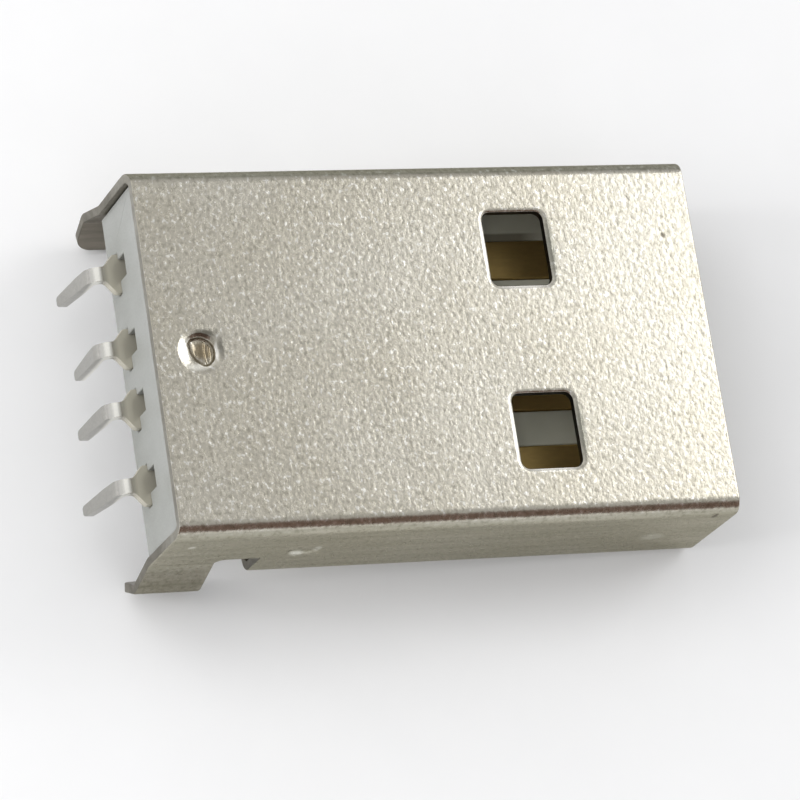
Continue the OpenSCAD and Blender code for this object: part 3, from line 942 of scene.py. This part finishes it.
def contact_line(start, steps):
    """Points along a line in X and Z: straight runs backwards, each with a turn downwards."""
    points = [start]
    at, heading = Vector(start), 180.0
    for run, turn, radius in steps:
        way = Vector((math.cos(math.radians(heading)), math.sin(math.radians(heading))))
        count = max(int(run / SPACING), 1)
        points += [tuple(at + way * run * (k + 1) / count) for k in range(count)]
        at = at + way * run
        if turn:
            side = math.copysign(1, turn)
            centre = at + side * radius * Vector((-way.y, way.x))
            for k in range(1, 11):
                a = math.radians(heading + turn * k / 10 - side * 90)
                points.append(tuple(centre + radius * Vector((math.cos(a), math.sin(a)))))
            at = Vector(points[-1])
            heading += turn
    return points


class Strip:
    """One contact in millimetres: the line along its middle, and its width at each place."""

    def __init__(self, settings, low, high, rear, lean):
        vars(self).update(sizes(settings))
        self.low, self.high, self.lean = low, high, math.radians(lean)
        self.middle = (low.y + high.y) / 2
        self.top = high.z - self.thickness / 2
        self.plate_z = self.top - DROP
        self.plate_end = rear - PLATE_END
        self.neck = rear - SHOULDER_START - self.shoulder
        self.taper_z = self.plate_z - self.thickness / 2 - FULL_TAIL

    def line(self):
        """The middle line: the contact face, the step down, the plate and the tail."""
        slope = math.radians(DROP_SLOPE)
        bend = self.bend + self.thickness / 2
        drop_x = BLOCK_FRONT - DROP_BEHIND
        drop_run = DROP / math.sin(slope) - 2 * DROP_RADIUS * math.tan(slope / 2)
        drop_long = 2 * DROP_RADIUS * math.sin(slope) + drop_run * math.cos(slope)
        fall = self.plate_z - bend * (1 - math.sin(self.lean)) - self.low.z
        steps = [
            (self.high.x - drop_x, DROP_SLOPE, DROP_RADIUS),
            (drop_run, -DROP_SLOPE, DROP_RADIUS),
            (drop_x - self.neck - drop_long, 90 - math.degrees(self.lean), bend),
            (fall / math.cos(self.lean), 0, 0),
        ]
        return [(x, self.middle, z) for x, z in contact_line((self.high.x, self.top), steps)]

    def width_at(self, x, z):
        """The width at a place: chamfered tip, tapering tail, shoulder, and full on the plate."""
        if z < self.low.z + TIP_CHAMFER:
            return self.tip_width - 2 * (self.low.z + TIP_CHAMFER - z)
        if z < self.taper_z:
            gain = self.tail_width - self.tip_width
            return self.tip_width + gain * (z - self.low.z) / (self.taper_z - self.low.z)
        if x >= self.plate_end:
            return self.width - NOSE_NARROWING * max(0, (x - self.high.x + NOSE_LONG) / NOSE_LONG)
        gain = self.width - self.tail_width
        return self.tail_width + gain * smooth(x, self.neck, self.plate_end)

    def draft(self, name):
        """The middle line as a mesh object whose points hold the widths."""
        points = self.line()
        mesh = bpy.data.meshes.new(name)
        mesh.from_pydata(points, [(i, i + 1) for i in range(len(points) - 1)], [])
        widths = mesh.attributes.new("strip_width", "FLOAT", "POINT")
        widths.data.foreach_set("value", [self.width_at(x, z) for x, _, z in points])
        obj = bpy.data.objects.new(name, mesh)
        bpy.context.scene.collection.objects.link(obj)
        return obj


def strip_tree():
    """Sweeps a round-edged section along the line and narrows it to the width at each point."""
    tree = bpy.data.node_groups.new("stamped_strip", "GeometryNodeTree")
    kinds = {
        "Geometry": "Geometry",
        "Middle": "Float",
        "Thickness": "Float",
        "Width": "Float",
        "Edge Round": "Float",
        "Material": "Material",
    }
    sockets = {}
    for name, kind in kinds.items():
        kind = "NodeSocket" + kind
        socket = tree.interface.new_socket(name, in_out="INPUT", socket_type=kind)
        sockets[name] = socket.identifier
    tree.interface.new_socket("Geometry", in_out="OUTPUT", socket_type="NodeSocketGeometry")
    given = add(tree, "NodeGroupInput").outputs

    line = add(tree, "GeometryNodeMeshToCurve", {"Mesh": given["Geometry"]})
    inputs = {"Width": given["Width"], "Height": given["Thickness"]}
    section = add(tree, "GeometryNodeCurvePrimitiveQuadrilateral", inputs, mode="RECTANGLE")
    inputs = {"Curve": section.outputs[0], "Count": 3, "Radius": given["Edge Round"]}
    rounded = add(tree, "GeometryNodeFilletCurve", inputs, mode="POLY")
    inputs = {"Curve": line.outputs[0], "Profile Curve": rounded.outputs[0], "Fill Caps": True}
    swept = add(tree, "GeometryNodeCurveToMesh", inputs)

    x, y, z = axes(tree, add(tree, "GeometryNodeInputPosition").outputs[0])
    wide = add(tree, "GeometryNodeInputNamedAttribute", {"Name": "strip_width"}, data_type="FLOAT")
    off = maths(tree, "SUBTRACT", y, given["Middle"])
    narrowing = maths(tree, "DIVIDE", wide.outputs[0], given["Width"])
    across = maths(tree, "ADD", times(tree, off, narrowing), given["Middle"])
    moved = add(tree, "ShaderNodeCombineXYZ", {"X": x, "Y": across, "Z": z})
    inputs = {"Geometry": swept.outputs[0], "Position": moved.outputs[0]}
    narrowed = add(tree, "GeometryNodeSetPosition", inputs)

    real = add(tree, "GeometryNodeRealizeInstances", {"Geometry": narrowed.outputs[0]})
    inputs = {"Geometry": real.outputs[0], "Material": given["Material"]}
    done = add(tree, "GeometryNodeSetMaterial", inputs)
    add(tree, "NodeGroupOutput", {"Geometry": done.outputs[0]})
    return tree, sockets


class PLUG_OT_contacts(bpy.types.Operator):
    """Sweep the four stamped contacts along their bent lines"""

    bl_idname = "plug.contacts"
    bl_label = "Contacts"

    def execute(self, context):
        s = context.scene.plug_contacts
        material = contact_plating(s)
        tree, sockets = strip_tree()
        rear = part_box("insulator")[0].x / MM
        for node, lean in CONTACTS.items():
            low, high = (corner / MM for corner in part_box(node))
            strip = Strip(s, low, high, rear, lean)
            obj = strip.draft(node + "_line")
            sweep = obj.modifiers.new("strip", "NODES")
            sweep.node_group = tree
            sweep[sockets["Middle"]] = strip.middle
            sweep[sockets["Thickness"]] = strip.thickness
            sweep[sockets["Width"]] = strip.width
            sweep[sockets["Edge Round"]] = strip.edge_round
            sweep[sockets["Material"]] = material
            even = obj.modifiers.new("even", "WEIGHTED_NORMAL")
            even.keep_sharp = True
            piece = bake(obj, node + "_strip")
            piece.shade_smooth()
            if "strip_width" in piece.attributes:
                piece.attributes.remove(piece.attributes["strip_width"])
            place_piece(piece, node + "_strip", "contact_plating", node)
        return {"FINISHED"}


# ---- Stage ----

# Each lamp's place and target in millimetres, its size in millimetres and its power in watts
LAMPS = {
    "glow": ((186, 81, 222), (0, 0, 2), 120, 0.155),
    "window": ((-105, 165, 228), (0, 0, 0), 240, 0.045),
    "door": ((-190, 80, 190), (0, 0, 0), 220, 0.19),
    "rear": ((-200, 0, 50), (-11, 0, 2), 70, 0.17),
}
# Lamps that light the plastic and the floor but aren't mirrored in the metal
UNMIRRORED = ("door", "rear")
# Brightness of the room near the horizon and overhead
HORIZON, OVERHEAD = (1.15, 1.15, 1.17), (0.59, 0.59, 0.59)
# The dark card's upright plane, its ends along X and its lower and upper edges, in metres
CARD_Y, CARD_X, CARD_Z = -0.26, (-0.2, 0.6), (0.08, 0.62)
# Half the size of the floor in metres, and the gap that keeps it clear of the plug
FLOOR_REACH, FLOOR_GAP = 0.6, 0.00001
# The point that the camera looks at, in millimetres
TARGET = (-2.406, -1.138, 2.2)


def add_plane(name, corners, material):
    """One four-cornered face on the stage."""
    mesh = bpy.data.meshes.new(name)
    mesh.from_pydata(corners, [], [(0, 1, 2, 3)])
    mesh.materials.append(material)
    plane = bpy.data.objects.new(name, mesh)
    bpy.context.scene.collection.objects.link(plane)
    return plane


def add_lamp(name, place, target, size, power):
    """A soft square lamp that faces its target."""
    data = bpy.data.lights.new(name, "AREA")
    data.shape = "SQUARE"
    data.size = size * MM
    data.energy = power
    lamp = bpy.data.objects.new(name, data)
    lamp.location = Vector(place) * MM
    lamp.rotation_mode = "QUATERNION"
    lamp.rotation_quaternion = (Vector(target) - Vector(place)).to_track_quat("-Z", "Y")
    lamp.visible_glossy = name not in UNMIRRORED
    bpy.context.scene.collection.objects.link(lamp)
    return lamp


def set_world(scene):
    """A pale room, brighter near the horizon than overhead."""
    world = bpy.data.worlds.new("pale_room")
    world.use_nodes = True
    tree = world.node_tree
    tree.nodes.clear()
    up = axes(tree, add(tree, "ShaderNodeTexCoord").outputs["Generated"])["Z"]
    tone = mix(tree, ramp(tree, up, 0.1, 0.6), HORIZON, OVERHEAD)
    back = add(tree, "ShaderNodeBackground", {"Color": tone, "Strength": 1.0})
    add(tree, "ShaderNodeOutputWorld", {"Surface": back.outputs[0]})
    scene.world = world


def add_dark_card():
    """A dark card beside the plug, seen only in the metal, for the dark line on the near fold."""
    material, tree, shader, place = new_material("dark_card")
    cloth = noise(tree, place, 20 * MM, 2)
    tone = mix(tree, ramp(tree, cloth, 0.3, 0.7), (0.19, 0.118, 0.092), (0.15, 0.092, 0.072))
    tree.links.new(tone, shader.inputs["Base Color"])
    shader.inputs["Roughness"].default_value = 0.9
    left, right, bottom, top = *CARD_X, *CARD_Z
    corners = ((left, bottom), (right, bottom), (right, top), (left, top))
    card = add_plane("dark_card", [(x, CARD_Y, z) for x, z in corners], material)
    card.visible_camera = card.visible_diffuse = card.visible_shadow = False


def add_floor(settings, shell):
    """A floor that meets the tips of the solder legs and the lower edge of the mating end."""
    low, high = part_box("shell")
    tip_front = low.x + shell.leg_long - shell.leg_chamfer
    slope = -low.z / (high.x - tip_front)
    corners = []
    for side, end in ((-1, -1), (1, -1), (1, 1), (-1, 1)):
        x, y = side * FLOOR_REACH, end * FLOOR_REACH
        corners.append((x, y, (x - high.x) * slope - FLOOR_GAP))
    add_plane("floor", corners, pale_floor(settings))


def add_camera(scene, settings):
    """A long lens, turned about its own axis."""
    a, e = settings.azimuth, settings.elevation
    back = Vector((math.sin(a) * math.cos(e), -math.cos(a) * math.cos(e), math.sin(e)))
    data = bpy.data.cameras.new("camera")
    data.lens = settings.lens
    data.sensor_width = 36
    data.clip_start, data.clip_end = 0.01, 5
    camera = bpy.data.objects.new("camera", data)
    camera.location = Vector(TARGET) * MM + back * settings.distance
    camera.rotation_mode = "QUATERNION"
    roll = Quaternion((0, 0, 1), settings.roll)
    camera.rotation_quaternion = (-back).to_track_quat("-Z", "Y") @ roll
    scene.collection.objects.link(camera)
    scene.camera = camera


class PLUG_OT_stage(bpy.types.Operator):
    """Set up the floor, the soft lamps and the camera"""

    bl_idname = "plug.stage"
    bl_label = "Stage"

    def execute(self, context):
        scene = context.scene
        scene.view_settings.view_transform = "Standard"
        add_floor(scene.plug_stage, scene.plug_shell)
        set_world(scene)
        lamps = {name: add_lamp(name, *lamp) for name, lamp in LAMPS.items()}
        lamps["rear"].visible_camera = False
        add_dark_card()
        add_camera(scene, scene.plug_stage)
        return {"FINISHED"}


class PLUG_PT_panel(bpy.types.Panel):
    """Lists the plug's settings and the steps that build it"""

    bl_idname = "PLUG_PT_panel"
    bl_label = "Board plug"
    bl_space_type = "VIEW_3D"
    bl_region_type = "UI"
    bl_category = "Plug"

    def draw(self, context):
        for group, step in GROUPS:
            box = self.layout.box()
            settings = getattr(context.scene, group)
            for key in settings.__annotations__:
                box.prop(settings, key)
            box.operator(step.bl_idname)


GROUPS = (
    ("plug_shell", PLUG_OT_shell),
    ("plug_insulator", PLUG_OT_insulator),
    ("plug_contacts", PLUG_OT_contacts),
    ("plug_stage", PLUG_OT_stage),
)
SETTINGS = (ShellSettings, InsulatorSettings, ContactSettings, StageSettings)


def register():
    for settings, (group, step) in zip(SETTINGS, GROUPS):
        bpy.utils.register_class(settings)
        bpy.utils.register_class(step)
        setattr(bpy.types.Scene, group, PointerProperty(type=settings))
    bpy.utils.register_class(PLUG_PT_panel)


def unregister():
    bpy.utils.unregister_class(PLUG_PT_panel)
    for settings, (group, step) in zip(SETTINGS, GROUPS):
        delattr(bpy.types.Scene, group)
        bpy.utils.unregister_class(step)
        bpy.utils.unregister_class(settings)


def main():
    """Builds every piece and the stage."""
    register()
    bpy.ops.plug.shell()
    bpy.ops.plug.insulator()
    bpy.ops.plug.contacts()
    bpy.ops.plug.stage()


if __name__ == "__main__":
    main()
